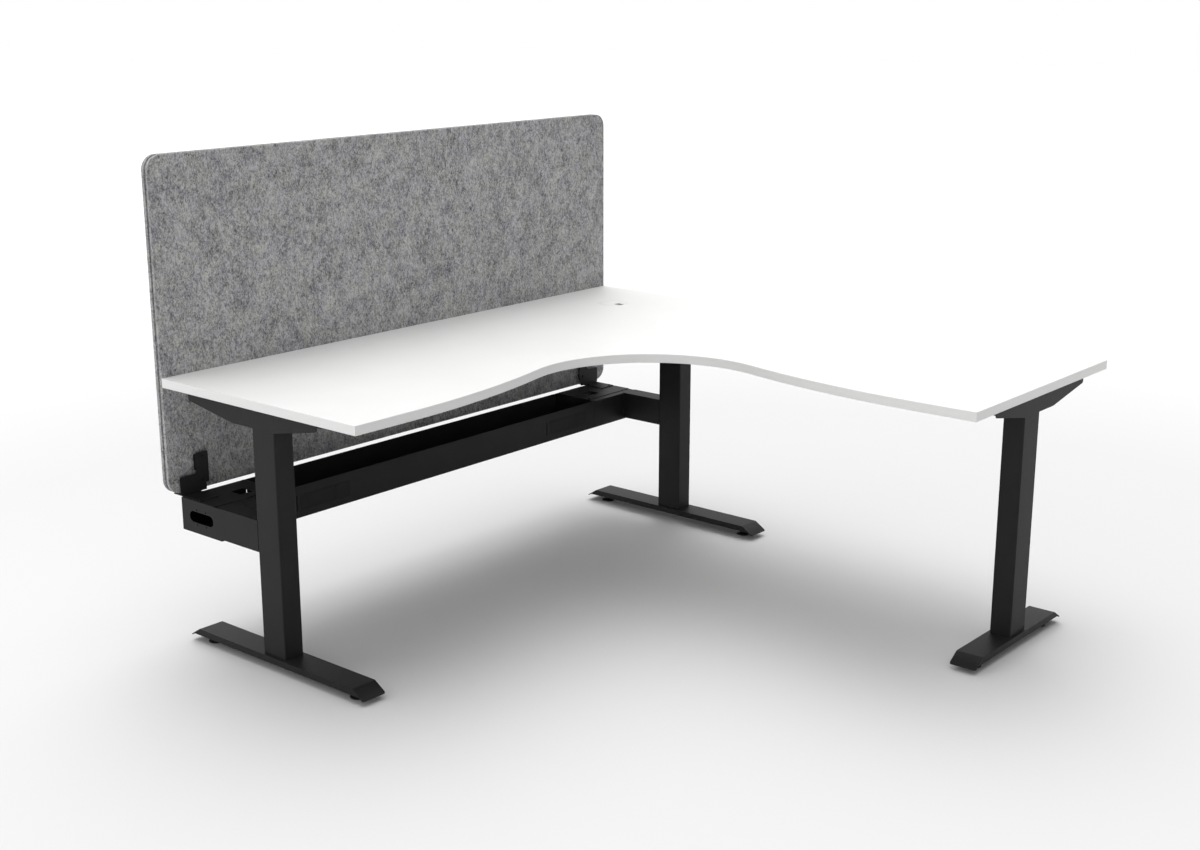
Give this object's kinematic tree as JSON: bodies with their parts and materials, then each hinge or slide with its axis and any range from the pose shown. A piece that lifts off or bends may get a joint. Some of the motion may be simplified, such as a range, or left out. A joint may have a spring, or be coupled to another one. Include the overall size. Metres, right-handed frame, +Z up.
{
  "type": "corner workstation",
  "caption": "L-shaped corner workstation with a curved inner edge, steel legs on folded feet, a cable tray, a cable grommet and a tall felt privacy screen along one wing.",
  "frame": {"origin": "on the floor, at the middle of the whole outline", "axes": "+Z up; +X along the screened wing towards the corner; +Y from the sitter towards the screen"},
  "size_m": [1.8, 1.827, 1.3075],
  "materials": {
    "board_white": "white melamine-faced board, matt",
    "edge_white": "white plastic edge band",
    "plastic_white": "white moulded plastic",
    "felt_grey": "pressed polyester felt, mottled grey",
    "core_dark": "dark core board",
    "coat_black": "fine-textured black powder coat",
    "plastic_black": "black moulded plastic",
    "rubber_black": "black rubber",
    "steel_screws": "zinc-plated steel",
    "steel_black": "blackened steel"
  },
  "bodies": {
    "desk": {"worktop": "board_white", "edge_band": "edge_white", "grommet_sleeve": "plastic_white", "screen_front_panel": "felt_grey", "screen_rear_panel": "felt_grey", "screen_core": "core_dark", "screen_bracket_left": "coat_black", "screen_bracket_right": "coat_black", "screen_pads": "rubber_black", "screen_spacers": "plastic_black", "cable_tray": "coat_black", "tray_end_left": "coat_black", "tray_end_right": "coat_black", "tray_cover_left": "coat_black", "tray_cover_right": "coat_black", "outlet_blank_left": "plastic_black", "data_blank_left": "plastic_black", "outlet_blank_right": "plastic_black", "data_blank_right": "plastic_black", "side_arm_left": "coat_black", "side_arm_corner": "coat_black", "column_left": "coat_black", "column_corner": "coat_black", "column_right": "coat_black", "foot_left": "coat_black", "foot_corner": "coat_black", "foot_right": "coat_black", "top_support_left": "coat_black", "top_support_corner": "coat_black", "top_support_right": "coat_black", "crossbar_front": "coat_black", "crossbar_rear": "coat_black", "return_rail_inner": "coat_black", "return_rail_outer": "coat_black", "worktop_screws": "steel_screws", "support_bolts": "steel_screws", "foot_bolts": "steel_screws", "arm_bolts": "steel_screws", "rail_screws": "steel_screws", "tray_screws": "steel_screws", "cover_screws": "steel_black", "screen_screws": "steel_screws"},
    "lid": {"grommet_lid": "plastic_white"},
    "glide_1": {"glide_left_rear": "plastic_black"},
    "glide_2": {"glide_left_front": "plastic_black"},
    "glide_3": {"glide_corner_rear": "plastic_black"},
    "glide_4": {"glide_corner_front": "plastic_black"},
    "glide_5": {"glide_right_outer": "plastic_black"},
    "glide_6": {"glide_right_inner": "plastic_black"}
  },
  "joints": [
    {"name": "grommet_lid_turn", "type": "hinge", "parent": "desk", "child": "lid", "pos_m": [0.67, 0.6565, 0.728], "axis": [0, 0, 1], "continuous": true},
    {"name": "glide_left_rear_height", "type": "slide", "parent": "desk", "child": "glide_1", "axis": [0, 0, -1], "range_m": [-0.005, 0.01]},
    {"name": "glide_left_front_height", "type": "slide", "parent": "desk", "child": "glide_2", "axis": [0, 0, -1], "range_m": [-0.005, 0.01]},
    {"name": "glide_corner_rear_height", "type": "slide", "parent": "desk", "child": "glide_3", "axis": [0, 0, -1], "range_m": [-0.005, 0.01]},
    {"name": "glide_corner_front_height", "type": "slide", "parent": "desk", "child": "glide_4", "axis": [0, 0, -1], "range_m": [-0.005, 0.01]},
    {"name": "glide_right_outer_height", "type": "slide", "parent": "desk", "child": "glide_5", "axis": [0, 0, -1], "range_m": [-0.005, 0.01]},
    {"name": "glide_right_inner_height", "type": "slide", "parent": "desk", "child": "glide_6", "axis": [0, 0, -1], "range_m": [-0.005, 0.01]}
  ]
}
